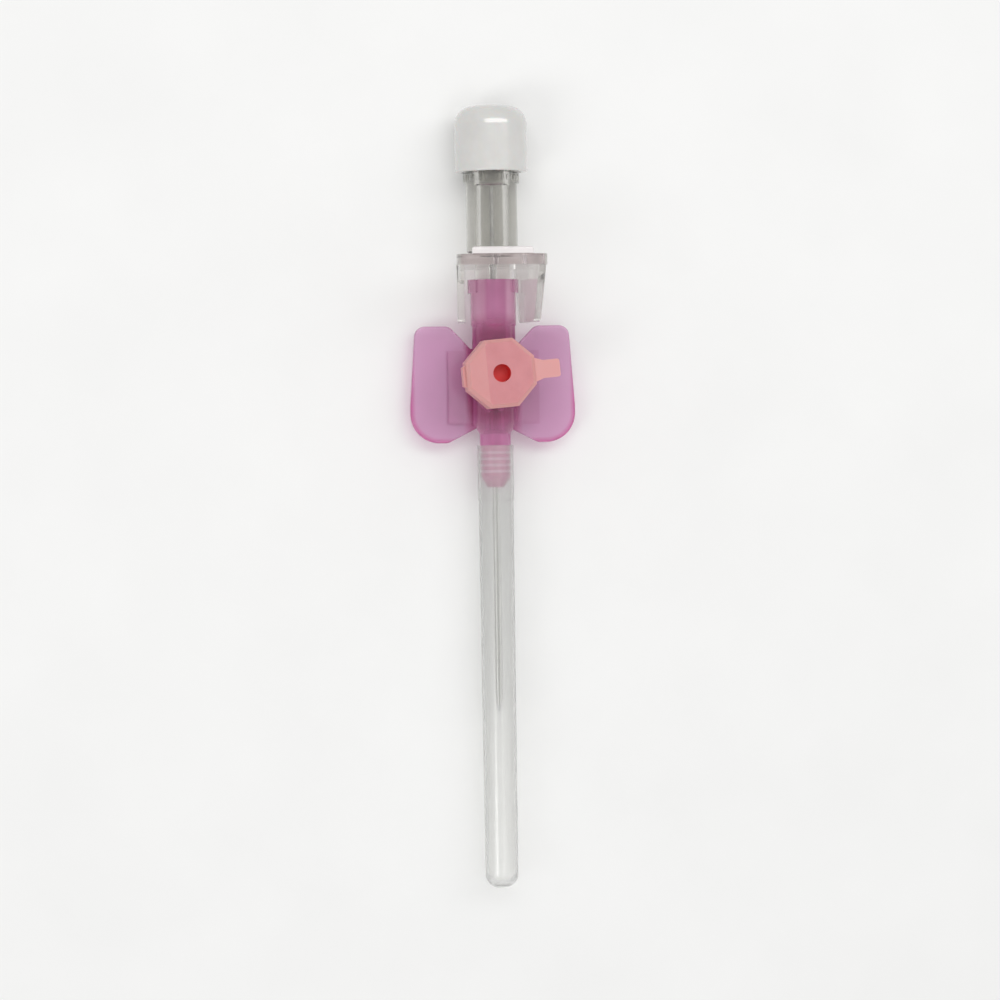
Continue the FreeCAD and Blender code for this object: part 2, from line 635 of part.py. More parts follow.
def hinge_lip(body, bottom):
    """One half of the cap's film hinge, a lip on the flat that faces away from the tab."""
    sketch = sketch_on(body, "XY_Plane", "hinge_outline", bottom)
    outline(sketch, [
        ("0 - octagon_half + bond", "hinge_half_width"),
        ("0 - octagon_half", "hinge_half_width"),
        ("0 - octagon_half - hinge_reach", "hinge_half_width - hinge_lip_taper"),
        ("0 - octagon_half - hinge_reach", "hinge_lip_taper - hinge_half_width"),
        ("0 - octagon_half", "0 - hinge_half_width"),
        ("0 - octagon_half + bond", "0 - hinge_half_width"),
    ])
    lengthened(body, "hinge_lip", sketch, "hinge_lip_height")


def make_port_cap_ring():
    """Octagonal ring that turns on the port and carries the lid by a film hinge."""
    body = start_body("port_cap_ring")
    sketch = sketch_on(body, "XY_Plane", "ring_outline", "ring_bottom")
    octagon(sketch)
    lengthened(body, "ring", sketch, "ring_height")
    sketch = sketch_on(body, "XY_Plane", "ring_bore_outline", "ring_top")
    circle(sketch, "0", "0", "chimney_radius + running_gap")
    lengthened(body, "ring_bore", sketch, "ring_height", cut=True)
    hinge_lip(body, "(ring_top - hinge_lip_height)")
    softened(body, "ring_rim", "ring_chamfer",
             lambda edge: near(edge.BoundBox.ZMax, "ring_bottom") and edge.Curve.TypeId == "Part::GeomLine"
             and abs(edge.CenterOfMass.x) + abs(edge.CenterOfMass.y) > value("octagon_half") - 0.01,
             "Chamfer")
    turn_with_cap(body)
    return body


def make_port_cap():
    """Octagonal lid with a hollow plug, a top that slopes to the hinge, and a thumb tab."""
    body = start_body("port_cap")
    sketch = sketch_on(body, "XY_Plane", "lid_outline", "lid_bottom")
    octagon(sketch)
    lengthened(body, "lid", sketch, "lid_top - lid_bottom")
    sketch = sketch_on(body, "XZ_Plane", "slope_outline")
    outline(sketch, [
        ("0 - octagon_corner", "lid_top"),
        ("0 - octagon_half - hinge_reach", "lid_top - lid_slope_drop"),
        ("0 - octagon_half - hinge_reach", "lid_top + lid_slope_drop"),
        ("0 - octagon_corner", "lid_top + lid_slope_drop"),
    ])
    lengthened(body, "slope", sketch, "cap_flats * 2", cut=True, midplane=True)
    rim_floor = value("lid_top - lid_slope_drop - bond")
    softened(body, "lid_bevel", "lid_bevel",
             lambda edge: edge.BoundBox.ZMin > rim_floor and not upright(edge)
             and math.hypot(edge.CenterOfMass.x, edge.CenterOfMass.y) > value("octagon_half") * 0.9,
             "Chamfer")
    sketch = sketch_on(body, "XY_Plane", "recess_outline", "lid_bottom")
    circle(sketch, "0", "0", "lid_recess_radius")
    lengthened(body, "recess", sketch, "lid_recess", cut=True, reverse=True)
    ceiling = "(lid_bottom + lid_recess)"
    turned(body, "plug", [
        ("0", f"{ceiling} + bond"),
        ("0", "chimney_top - plug_reach"),
        ("plug_end_radius", "chimney_top - plug_reach"),
        ("socket_radius - running_gap", "chimney_top"),
        ("socket_radius - running_gap", f"{ceiling} + bond"),
    ], axis="V_Axis")
    sketch = sketch_on(body, "XY_Plane", "eye_outline", "lid_top")
    circle(sketch, "0", "0", "eye_radius")
    lengthened(body, "eye", sketch, "eye_depth", cut=True)
    sketch = sketch_on(body, "XY_Plane", "tab_outline", "lid_top - lid_bevel - tab_thickness")
    outline(sketch, [
        ("octagon_half - bond", "tab_root_half_width"),
        ("octagon_half - bond", "0 - tab_root_half_width"),
        ("octagon_half", "0 - tab_root_half_width"),
        ("tab_root_end", "0 - tab_half_width"),
        ("tab_end", "0 - tab_half_width"),
        ("tab_end", "tab_half_width"),
        ("tab_root_end", "tab_half_width"),
        ("octagon_half", "tab_root_half_width"),
    ])
    lengthened(body, "tab", sketch, "tab_thickness")
    softened(body, "tab_corners", "tab_corner",
             lambda edge: stands_at(edge, "tab_end", "tab_half_width")
             or stands_at(edge, "tab_end", "0 - tab_half_width"))
    hinge_lip(body, "lid_bottom")
    turn_with_cap(body)
    return body


def make_needle():
    """Steel needle with its ground point, the swelling that stops the clip, and an open rear end."""
    body = start_body("needle_cannula")
    swelling = "(needle_radius + crimp_rise)"
    turned(body, "needle", [
        ("needle_front", "needle_bore"),
        ("needle_front", "needle_radius"),
        ("crimp_rear - crimp_length", "needle_radius"),
        ("crimp_rear - crimp_length * 2 / 3", swelling),
        ("crimp_rear - crimp_length / 3", swelling),
        ("crimp_rear", "needle_radius"),
        ("needle_rear", "needle_radius"),
        ("needle_rear", "needle_bore"),
    ])
    sketch = sketch_on(body, "YZ_Plane", "bevel_outline")
    outline(sketch, [
        ("needle_front", "0 - needle_radius"),
        ("needle_front + 3 * needle_radius / tan(bevel_angle * 1 deg)", "2 * needle_radius"),
        ("needle_front - face_gap", "2 * needle_radius"),
        ("needle_front - face_gap", "0 - needle_radius"),
    ])
    lengthened(body, "bevel", sketch, "needle_radius * 4", cut=True, midplane=True)
    for side in (1, -1):
        sketch = sketch_on(body, "YZ_Plane", f"lancet_outline_{side + 1}", turn=f"{side} * lancet_turn")
        outline(sketch, [
            ("needle_front - face_gap", "0 - needle_radius"),
            ("needle_front + lancet_length",
             "(lancet_length + face_gap) * tan(lancet_angle * 1 deg) - needle_radius"),
            ("needle_front - face_gap",
             "(lancet_length + face_gap) * tan(lancet_angle * 1 deg) - needle_radius"),
        ])
        lengthened(body, f"lancet_{side + 1}", sketch, "needle_radius * 4", cut=True, midplane=True)
    return body


def make_safety_clip():
    """Spring steel strip: a base with a hole for the needle and two arms whose lips ride on it."""
    body = start_body("safety_clip")
    inner = "(clip_front + clip_sheet)"
    upper = [
        ("clip_rear", "clip_half_height"),
        ("clip_rear - clip_sheet", "clip_half_height"),
        ("clip_front", "clip_lip + clip_lip_height"),
        ("clip_front", "clip_lip"),
        (inner, "clip_lip"),
        (inner, "clip_lip + clip_lip_height - clip_sheet"),
        ("clip_rear - clip_sheet", "clip_half_height - clip_sheet"),
    ]
    lower = [(along, f"0 - ({up})") for along, up in reversed(upper)]
    sketch = sketch_on(body, "YZ_Plane", "strip_outline")
    outline(sketch, upper + lower)
    lengthened(body, "strip", sketch, "clip_width", midplane=True)
    sketch = sketch_on(body, "XZ_Plane", "hole_outline", "0 - clip_rear")
    circle(sketch, "0", "0", "clip_hole")
    lengthened(body, "needle_hole", sketch, "clip_sheet * 2", cut=True, reverse=True, midplane=True)
    return body


def make_needle_hub():
    """Clear moulding: taper nose, grip plate with side cheeks, flash chamber and its rear socket."""
    body = start_body("needle_hub")
    nose_front_radius = "(nose_fit - lock_taper * (hub_rear - needle_nose_front))"
    turned(body, "core", [
        ("needle_nose_front", "0"),
        ("needle_nose_front", nose_front_radius),
        ("hub_rear", "nose_fit"),
        ("hub_rear + 3 * face_gap", "nose_fit"),
        ("hub_rear + 3 * face_gap", "hub_neck_radius"),
        ("plate_front", "hub_neck_radius"),
        ("plate_rear", "hub_neck_radius"),
        ("plate_rear + chamber_shoulder", "chamber_radius"),
        ("collar_front", "chamber_radius"),
        ("collar_front", "collar_radius"),
        ("collar_rear", "collar_radius"),
        ("collar_rear", "chamber_end_radius"),
        ("chamber_rear", "chamber_end_radius"),
        ("chamber_rear", "0"),
    ])
    lock_lugs(body, "chamber_lug", "chamber_rear", "chamber_end_radius - bond")
    add_grip(body)
    turned(body, "chamber_bore", [
        ("chamber_rear + face_gap", "0"),
        ("chamber_rear + face_gap", "socket_radius + lock_taper * face_gap"),
        ("insert_front - insert_room", "socket_radius - lock_taper * (insert_reach + insert_room)"),
        ("insert_front - insert_room - bore_step", "chamber_bore"),
        ("chamber_front", "chamber_bore"),
        ("chamber_front - chamber_cone", "needle_radius + seat_gap"),
        ("needle_nose_front - face_gap", "needle_radius + seat_gap"),
        ("needle_nose_front - face_gap", "0"),
    ], cut=True)
    turned(body, "glue_well", [
        ("needle_nose_front - face_gap", "0"),
        ("needle_nose_front - face_gap", "glue_well_radius"),
        ("needle_nose_front", "glue_well_radius"),
        ("needle_nose_front + glue_well_depth", "needle_radius + seat_gap"),
        ("needle_nose_front + glue_well_depth", "0"),
    ], cut=True)
    add_collar_notches(body)
    return body


def add_grip(body):
    """The upright grip plate with its ribs and top lip, and two cheeks that reach past the catheter hub."""
    sketch = sketch_on(body, "XZ_Plane", "plate_outline", "0 - plate_rear")
    outline(sketch, [
        ("0 - plate_low_half_width", "0 - plate_drop"),
        ("plate_low_half_width", "0 - plate_drop"),
        ("plate_top_half_width", "plate_rise"),
        ("0 - plate_top_half_width", "plate_rise"),
    ])
    lengthened(body, "plate", sketch, "plate_thickness")
    softened(body, "plate_top_corners", "plate_top_corner",
             lambda edge: plate_corner(edge, "plate_top_half_width", "plate_rise"))
    softened(body, "plate_low_corners", "plate_low_corner",
             lambda edge: plate_corner(edge, "plate_low_half_width", "0 - plate_drop"))
    cheek_inside = "plate_half_width - cheek_thickness / cos(plate_lean * 1 deg)"
    sketch = sketch_on(body, "YZ_Plane", "cheek_outline", cheek_inside, "plate_lean")
    outline(sketch, [
        ("plate_front + bond", "0 - cheek_rear_drop"),
        ("plate_front + bond", "cheek_rear_rise"),
        ("plate_front", "cheek_rear_rise"),
        ("cheek_front", "cheek_front_rise"),
        ("cheek_front", "0 - cheek_front_drop"),
        ("plate_front", "0 - cheek_rear_drop"),
    ])
    cheek = lengthened(body, "cheek", sketch, "cheek_thickness")
    patterned(body, "Mirrored", "both_cheeks", [cheek], MirrorPlane=(origin_axis(body, "YZ_Plane"), [""]))
    softened(body, "cheek_corners", "cheek_corner", cheek_corner)
    sketch = sketch_on(body, "XZ_Plane", "grip_rib_outline", "0 - plate_rear - grip_rib_height")
    rib_top = "(grip_rib_lowest + grip_rib_width)"
    outline(sketch, [
        ("0 - grip_rib_half_length", "grip_rib_lowest"),
        ("grip_rib_half_length", "grip_rib_lowest"),
        ("grip_rib_half_length", rib_top),
        ("0 - grip_rib_half_length", rib_top),
    ])
    rib = lengthened(body, "grip_rib", sketch, "grip_rib_height + bond")
    count = int(value("grip_rib_count"))
    ribs = patterned(
        body, "LinearPattern", "grip_ribs", [rib],
        Direction=(origin_axis(body, "Z_Axis"), [""]), Occurrences=count,
        Length=(count - 1) * value("grip_rib_pitch"),
    )
    ribs.setExpression("Length", bind("grip_rib_pitch * (grip_rib_count - 1)"))
    lip_rear = "(plate_rear + grip_lip_reach)"
    sketch = sketch_on(body, "XZ_Plane", "grip_lip_outline", f"0 - {lip_rear}")
    outline(sketch, [
        ("0 - grip_lip_half_length", "plate_rise - grip_lip_height"),
        ("grip_lip_half_length", "plate_rise - grip_lip_height"),
        ("grip_lip_half_length", "plate_rise"),
        ("0 - grip_lip_half_length", "plate_rise"),
    ])
    lengthened(body, "grip_lip", sketch, "grip_lip_reach + bond")
    softened(body, "grip_lip_edges", "grip_lip_round", lambda edge: near(edge.BoundBox.YMin, lip_rear))


def cheek_corner(edge):
    """True for an edge across a cheek's thickness at its front end."""
    box = edge.BoundBox
    return near(box.YMax, "cheek_front") and box.ZLength < value("cheek_thickness")


def plate_corner(edge, half_width, height):
    """True for an edge along the cannula at one of the plate's corners."""
    box = edge.BoundBox
    flat = box.XLength < 1e-6 and box.ZLength < 1e-6
    return flat and near(abs(box.XMin), half_width) and near(box.ZMin, height)


def add_collar_notches(body):
    """Short notches round the chamber's collar."""
    notch_rear = "((collar_front + collar_rear + collar_notch_length) / 2)"
    sketch = sketch_on(body, "XZ_Plane", "notch_outline", f"0 - {notch_rear}")
    outline(sketch, [
        ("collar_radius - collar_notch_depth", "0 - collar_notch_width / 2"),
        ("collar_radius + bond", "0 - collar_notch_width / 2"),
        ("collar_radius + bond", "collar_notch_width / 2"),
        ("collar_radius - collar_notch_depth", "collar_notch_width / 2"),
    ])
    notch = lengthened(body, "notch", sketch, "collar_notch_length", cut=True, reverse=True)
    patterned(
        body, "PolarPattern", "notches", [notch],
        Axis=(origin_axis(body, "Y_Axis"), [""]), Angle=360, Occurrences=int(value("collar_notch_count")),
    )


def make_vent_insert():
    """Clear taper plug under the lock cap, with a bore and a seat for the filter."""
    body = start_body("vent_insert")
    front_radius = "(nose_fit - lock_taper * insert_reach)"
    turned(body, "insert", [
        ("insert_front", "insert_bore"),
        ("insert_front", front_radius),
        ("chamber_rear", "nose_fit"),
        ("insert_flange_front", "nose_fit"),
        ("insert_flange_front", "insert_flange_radius"),
        ("insert_rear", "insert_flange_radius"),
        ("insert_rear", "filter_radius + seat_gap"),
        ("insert_rear - filter_thickness - face_gap", "filter_radius + seat_gap"),
        ("insert_rear - filter_thickness - face_gap", "insert_bore"),
    ])
    return body


def make_filter_disc():
    """White water-repellent filter that lets air out and keeps blood in."""
    body = start_body("filter_disc")
    turned(body, "disc", [
        ("insert_rear - filter_thickness", "0"),
        ("insert_rear - filter_thickness", "filter_radius"),
        ("insert_rear", "filter_radius"),
        ("insert_rear", "0"),
    ])
    return body


def make_lock_cap():
    """White domed cap that screws over the chamber's lugs and holds the vent insert."""
    body = start_body("lock_cap")
    turned(body, "dome", [
        ("lock_cap_front", "0"),
        ("lock_cap_front", "lock_cap_radius"),
        ("lock_cap_rear", "lock_cap_radius"),
        ("lock_cap_rear", "0"),
    ])
    softened(body, "shoulder", "lock_cap_shoulder",
             lambda edge: near(edge.BoundBox.YMin, "lock_cap_rear") and edge.BoundBox.YLength < 1e-6)
    turned(body, "cavity", [
        ("lock_cap_front - face_gap", "0"),
        ("lock_cap_front - face_gap", "lock_cap_bore + lock_cap_lead"),
        ("lock_cap_front + lock_cap_lead", "lock_cap_bore"),
        ("chamber_rear + 2 * face_gap", "lock_cap_bore"),
        ("chamber_rear + 2 * face_gap", "insert_flange_radius + running_gap"),
        ("insert_rear + face_gap", "insert_flange_radius + running_gap"),
        ("insert_rear + face_gap", "vent_space_radius"),
        ("insert_rear + vent_space_depth", "vent_space_radius"),
        ("insert_rear + vent_space_depth", "0"),
    ], cut=True)
    softened(body, "mouth_rim", "lock_cap_rim",
             lambda edge: near(edge.BoundBox.YMin, "lock_cap_front") and edge.BoundBox.YLength < 1e-6
             and near(edge.BoundBox.ZMax, "lock_cap_radius"))
    return body


def make_protective_sheath():
    """Clear closed tube over the needle, slightly tapered, with a proud mouth and a domed end."""
    body = start_body("protective_sheath")
    dome_start = "(sheath_front + sheath_end_radius)"
    turned(body, "tube", [
        ("sheath_mouth", "0"),
        ("sheath_mouth", "sheath_mouth_radius"),
        ("sheath_mouth - sheath_collar_length", "sheath_mouth_radius"),
        ("sheath_mouth - sheath_collar_length - sheath_collar_rise", "sheath_mouth_radius - sheath_collar_rise"),
        (dome_start, "sheath_end_radius"),
        ("sheath_front", "sheath_end_radius"),
        ("sheath_front", "0"),
    ])
    inner_end = "(sheath_end_radius - sheath_wall)"
    inner_front = "(sheath_front + 2 * sheath_wall)"
    turned(body, "hollow", [
        ("sheath_mouth + face_gap", "0"),
        ("sheath_mouth + face_gap", "sheath_bore"),
        ("nose_seat_front", "sheath_bore"),
        (inner_front, inner_end),
        (inner_front, "0"),
    ], cut=True)
    softened(body, "domed_hollow", "sheath_dome - sheath_wall",
             lambda edge: near(edge.BoundBox.YMin, inner_front) and edge.BoundBox.YLength < 1e-6)
    softened(body, "domed_end", "sheath_dome",
             lambda edge: near(edge.BoundBox.YMin, "sheath_front") and edge.BoundBox.YLength < 1e-6)
    return body


PARTS = [
    make_catheter_hub(),
    make_valve_sleeve(),
    make_catheter_tube(),
    make_tube_ferrule(),
    make_port_cap_ring(),
    make_port_cap(),
    make_safety_clip(),
    make_needle(),
    make_needle_hub(),
    make_vent_insert(),
    make_filter_disc(),
    make_lock_cap(),
    make_protective_sheath(),
]

doc.recompute()

for item in doc.Objects:
    if "Invalid" in item.State or "Error" in item.State:
        raise RuntimeError(f"{item.Label} failed: {item.State}")

for part in PARTS:
    if part.Shape.isNull() or not part.Shape.isValid():
        raise RuntimeError(f"{part.Label} has no valid shape")

os.makedirs("parts", exist_ok=True)
for part in PARTS:
    part.Shape.exportStep(f"parts/{part.Label}.step")
    box = part.Shape.BoundBox
    print(f"{part.Label:18s} volume {part.Shape.Volume:8.2f} solids {len(part.Shape.Solids)}"
          f" X {box.XMin:6.2f} {box.XMax:6.2f} Y {box.YMin:7.2f} {box.YMax:6.2f} Z {box.ZMin:6.2f} {box.ZMax:6.2f}")
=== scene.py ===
import math

import bpy
from mathutils import Matrix, Vector


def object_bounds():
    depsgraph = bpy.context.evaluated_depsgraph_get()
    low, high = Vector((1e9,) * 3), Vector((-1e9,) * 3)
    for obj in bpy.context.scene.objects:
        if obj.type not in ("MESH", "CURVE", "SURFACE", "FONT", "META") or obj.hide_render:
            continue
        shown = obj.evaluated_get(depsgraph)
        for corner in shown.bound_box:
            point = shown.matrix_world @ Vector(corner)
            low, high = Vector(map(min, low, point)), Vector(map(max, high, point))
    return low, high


# Looks of a winged iv cannula: translucent pink hub, salmon port cap, clear needle hub and sheath, white cap.
# Every length is in metres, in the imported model's frame: +Z runs up the port, +Y along the cannula to the lock
# cap. A span is a pair of numbers between which a look changes.


def tone(red, green, blue):
    """A colour as a screen gives it, 0 to 255, as the linear numbers that shaders take."""
    def linear(share):
        return share / 12.92 if share <= 0.04045 else ((share + 0.055) / 1.055) ** 2.4
    return tuple(linear(part / 255) for part in (red, green, blue)) + (1.0,)


MM = 0.001
AXIS_HEIGHT = 2.9 * MM
WHITE = (1.0, 1.0, 1.0, 1.0)

# Pink hub. Across is measured from the long axis, along from the port's axis.
WING_PINK = tone(222, 180, 211)
WEB_PINK = tone(215, 166, 199)
# Painted glow: the deeper pink along the wings' outer rim.
EDGE_GLOW_PINK = tone(212, 108, 172)
# Painted haze: the socket's sides are paler, where the clear cheeks lie over them.
SIDE_HAZE_PINK = tone(236, 184, 214)
# Deeper pink at the port's foot: thicker plastic there, with painted shade under the port cap's overhang.
FOOT_SHADE_PINK = tone(180, 80, 135)
SPIGOT_PINK = tone(222, 145, 193)
NOSE_PINK = tone(222, 108, 170)
# Painted highlights on the nose rings.
RING_HIGHLIGHT_PINK = tone(244, 196, 222)
WING_ROOT = (3.4 * MM, 4.6 * MM)
WEB_ACROSS, WEB_SIDE_BLUR = (4.6 * MM, 7.0 * MM), 0.25 * MM
WEB_ALONG, WEB_END_BLUR = (-7.4 * MM, 3.6 * MM), 0.2 * MM
CORNER_ACROSS, CORNER_ALONG = 8.15 * MM, -5.8 * MM
WING_EDGE = (3.7 * MM, 4.4 * MM)
SOCKET_WALL, SOCKET_WALL_BLUR = (1.8 * MM, 4.0 * MM), 0.5 * MM
SOCKET_START = (7.5 * MM, 8.5 * MM)
PORT_FOOT = (6.4 * MM, 9.6 * MM)
SPIGOT_START = (-9.3 * MM, -8.7 * MM)
NOSE_START = (-10.9 * MM, -10.7 * MM)
RINGS_ALONG, RINGS_BLUR = (-15.0 * MM, -11.5 * MM), 0.1 * MM
RING_PLACE, RING_PITCH = -11.85 * MM, 0.95 * MM
RING_WIDTH = (0.0, 0.5)

# Clear needle hub, sheath and vent insert.
CLEAR_IOR = 1.49
# The second share is how clear the lip stays under its painted highlight.
CLEAR_SHARE, LIP_HIGHLIGHT_SHARE = 0.94, 0.35
GRIP_CLEAR = tone(235, 233, 231)
# Painted shade with a pink cast along the clear plate's top.
PLATE_TOP_SHADE_TONE = tone(204, 186, 188)
# Painted highlight: the near-white lip along the plate's top.
LIP_HIGHLIGHT_TONE = tone(244, 240, 240)
# Painted light: the sheath's closed end is lighter.
SHEATH_END_LIGHT_TONE = tone(245, 245, 244)
GRIP_REAR = (17.8 * MM, 18.6 * MM)
PLATE_TOP = (AXIS_HEIGHT + 12.0 * MM, AXIS_HEIGHT + 12.2 * MM)
LIP_FRONT = (17.82 * MM, 17.9 * MM)
LIP_BOTTOM = (AXIS_HEIGHT + 11.4 * MM, AXIS_HEIGHT + 11.5 * MM)
SHEATH_ALONG = (-76.0 * MM, -24.0 * MM)

# Port cap, an octagon that stands turned about the port, by some degrees.
CAP_TURN = 5.0
# The rim tone is painted highlight, for the chamfered rim and the sloped facet.
CAP_PALE, CAP_DEEP, CAP_RIM_HIGHLIGHT = tone(207, 138, 142), tone(197, 127, 132), tone(215, 154, 152)
# Painted light: the blind hole's deep red stands for light bounced around in the salmon recess.
EYE_BOUNCE_RED = tone(224, 48, 48)
RIM_START = (4.5 * MM, 4.75 * MM)
# Painted light: the sloped facet towards the hinge is lighter, as lit.
SLOPE_LIGHT_SHARE, SLOPE_START = 0.6, (-2.25 * MM, -2.1 * MM)
EYE_RADIUS = 1.36 * MM
EYE_EDGE = (EYE_RADIUS * 1.01, EYE_RADIUS * 1.04)
EYE_DEPTH, EYE_BLUR = (AXIS_HEIGHT + 6.5 * MM, AXIS_HEIGHT + 8.95 * MM), 0.1 * MM

# Grain, in features per metre, with the height of its bumps. Noise lies mostly in its middle span.
CLEAR_CLOUDS, CLEAR_GLOSS_GRAIN, CLEAR_BUMPS, CLEAR_BUMP_HEIGHT = 260.0, 900.0, 420.0, 0.01 * MM
SATIN_CLOUDS, SATIN_GLOSS_GRAIN, SATIN_BUMPS, SATIN_BUMP_HEIGHT = 320.0, 1500.0, 2500.0, 0.002 * MM
CAP_CLOUDS = 300.0
STEEL_LINES, STEEL_BUMP_HEIGHT = 16000.0, 0.004 * MM
TUBE_GLOSS_GRAIN = 2500.0
SILICONE_CLOUDS, SILICONE_GLOSS_GRAIN = 700.0, 3000.0
FLOOR_CLOUDS = 40.0
BUMP_DETAIL = 2.0
NOISE_MIDDLE = (0.3, 0.7)

# Light. World and glow are strengths. A lamp has a name, a place, the x that it is aimed at, a size and watts.
WORLD_LIGHTS, WORLD_SEEN = 0.5, 0.85
NEAR_GLOW, FAR_GLOW, GLOW_SPAN = 0.03, 0.42, (0.15, 1.2)
FLOOR_SIZE = 3.0
LAMP_AIM_Y = -0.01
LAMPS = (
    ("rear_softbox", (0.2, 0.25, 0.62), 0.2, (1.0, 0.26), 2.4),
    ("left_lamp", (-0.42, -0.2, 0.48), 0.0, (0.2, 0.3), 0.7),
    ("front_lamp", (0.12, -0.24, 0.8), 0.0, (0.4, 0.3), 0.6),
)

# Camera. It leans to the left of upright, its picture is tilted a little, and it looks at a point near the axis.
PIXEL = 0.152 * MM
FRAME_PIXELS = 1000
CAMERA_LEAN, CAMERA_TILT = math.radians(7.5), math.radians(0.89)
CAMERA_LENS, CAMERA_SENSOR = 180.0, 36.0
TARGET_ALONG, TARGET_RIGHT = -19.05 * MM, 3.8 * PIXEL


def add(tree, kind, **settings):
    """A shader node with its properties and inputs set. Inputs are named as their sockets, spaces as _."""
    node = tree.nodes.new(kind)
    for key, setting in settings.items():
        socket = node.inputs.get(key.replace("_", " "))
        if hasattr(node, key) and socket is None:
            setattr(node, key, setting)
        else:
            socket.default_value = setting
    return node


def material(name, colour, roughness, **settings):
    """A Principled material. Returns it with its node tree and its shader node."""
    made = bpy.data.materials.new(name)
    made.use_nodes = True
    shader = made.node_tree.nodes["Principled BSDF"]
    shader.inputs["Base Color"].default_value = colour
    shader.inputs["Roughness"].default_value = roughness
    for key, setting in settings.items():
        shader.inputs[key.replace("_", " ")].default_value = setting
    return made, made.node_tree, shader


def grain(tree, scale, detail=3.0, along=1.0):
    """Noise fixed to the piece: its Fac socket. Scale is in features per metre, times along in Y."""
    place = add(tree, "ShaderNodeTexCoord")
    stretch = add(tree, "ShaderNodeMapping", Scale=(1.0, along, 1.0))
    noise = add(tree, "ShaderNodeTexNoise", Scale=scale, Detail=detail, Roughness=0.55)
    tree.links.new(place.outputs["Object"], stretch.inputs["Vector"])
    tree.links.new(stretch.outputs[0], noise.inputs["Vector"])
    return noise.outputs["Fac"]


def ranged(tree, source, low, high, span=NOISE_MIDDLE):
    """Low up to the span's first number, high from its second on, and a straight ramp between."""
    node = add(tree, "ShaderNodeMapRange")
    for index, number in enumerate((*span, low, high), start=1):
        node.inputs[index].default_value = number
    tree.links.new(source, node.inputs[0])
    return node.outputs[0]


def rising(tree, source, span=NOISE_MIDDLE):
    """0 before the span, 1 beyond it."""
    return ranged(tree, source, 0.0, 1.0, span)


def falling(tree, source, span):
    """1 before the span, 0 beyond it."""
    return ranged(tree, source, 1.0, 0.0, span)


def blended(tree, share, first, second):
    """A colour between two, by a socket. Either may be a socket itself."""
    node = add(tree, "ShaderNodeMix", data_type="RGBA")
    sockets = [s for s in node.inputs if s.type == "RGBA"]
    for socket, colour in zip(sockets, (first, second)):
        if hasattr(colour, "links"):
            tree.links.new(colour, socket)
        else:
            socket.default_value = colour
    tree.links.new(share, node.inputs[0])
    return next(s for s in node.outputs if s.type == "RGBA")


def figured(tree, operation, first, second=None):
    """The result of one step of arithmetic. Each term is a socket or a number."""
    node = add(tree, "ShaderNodeMath", operation=operation)
    for socket, term in zip(node.inputs, (first, second)):
        if hasattr(term, "links"):
            tree.links.new(term, socket)
        elif term is not None:
            socket.default_value = term
    return node.outputs[0]


def product(tree, first, second):
    return figured(tree, "MULTIPLY", first, second)


def length_of(tree, across, along):
    """The length of a step that goes across and along."""
    return figured(tree, "SQRT", figured(tree, "ADD", product(tree, across, across), product(tree, along, along)))


def within(tree, source, span, blur):
    """1 where a socket lies in a span, and 0 beyond its blurred ends."""
    low, high = span
    return product(tree, rising(tree, source, (low - blur, low)), falling(tree, source, (high, high + blur)))


def places(tree):
    """The piece's own X, Y and Z, as sockets."""
    place = add(tree, "ShaderNodeTexCoord")
    parts = add(tree, "ShaderNodeSeparateXYZ")
    tree.links.new(place.outputs["Object"], parts.inputs[0])
    return [parts.outputs[letter] for letter in "XYZ"]


def distance_from_port(tree):
    """How far a point lies from the injection port's own axis."""
    across, along, _ = places(tree)
    return length_of(tree, across, along)


def places_turned(tree, degrees):
    """How far a point lies from the port's axis in a direction turned about it from +X."""
    across, along, _ = places(tree)
    turn = math.radians(degrees)
    return figured(tree, "ADD", product(tree, across, math.cos(turn)), product(tree, along, math.sin(turn)))


def octagon_distance(tree):
    """How far out a point lies across the flats of the port cap's octagon."""
    furthest = 0.0
    for flat in range(4):
        reach = figured(tree, "ABSOLUTE", places_turned(tree, CAP_TURN + 45.0 * flat))
        furthest = figured(tree, "MAXIMUM", reach, furthest)
    return furthest


def seen_directly(tree):
    """1 for rays from the camera, from reflections and through clear plastic, 0 for those that light the scene."""
    path = add(tree, "ShaderNodeLightPath")
    seen = path.outputs["Is Camera Ray"]
    for other in ("Is Glossy Ray", "Is Transmission Ray"):
        seen = figured(tree, "MAXIMUM", seen, path.outputs[other])
    return seen


def roughened(tree, shader, scale, low, high, along=1.0):
    """Uneven gloss: the roughness wanders between two numbers."""
    tree.links.new(ranged(tree, grain(tree, scale, along=along), low, high), shader.inputs["Roughness"])


def bumped(tree, shader, height, distance, strength=1.0):
    """Bumps from a socket between 0 and 1, as high as distance."""
    bump = add(tree, "ShaderNodeBump", Strength=strength, Distance=distance)
    tree.links.new(height, bump.inputs["Height"])
    tree.links.new(bump.outputs["Normal"], shader.inputs["Normal"])


def satin_skin(tree, shader, low, high):
    """Uneven gloss and the finest bumps of a satin moulding."""
    roughened(tree, shader, SATIN_GLOSS_GRAIN, low, high)
    bumped(tree, shader, grain(tree, SATIN_BUMPS, BUMP_DETAIL), SATIN_BUMP_HEIGHT, 0.5)


def lets_lamps_through(tree, shader, tint, share):
    """Clear plastic throws a light shadow: lamps pass a see-through stand-in of its colour."""
    path = add(tree, "ShaderNodeLightPath")
    open_shader = add(tree, "ShaderNodeBsdfTransparent", Color=tint)
    mix = add(tree, "ShaderNodeMixShader")
    tree.links.new(product(tree, path.outputs["Is Shadow Ray"], share), mix.inputs[0])
    tree.links.new(shader.outputs[0], mix.inputs[1])
    tree.links.new(open_shader.outputs[0], mix.inputs[2])
    tree.links.new(mix.outputs[0], tree.nodes["Material Output"].inputs["Surface"])


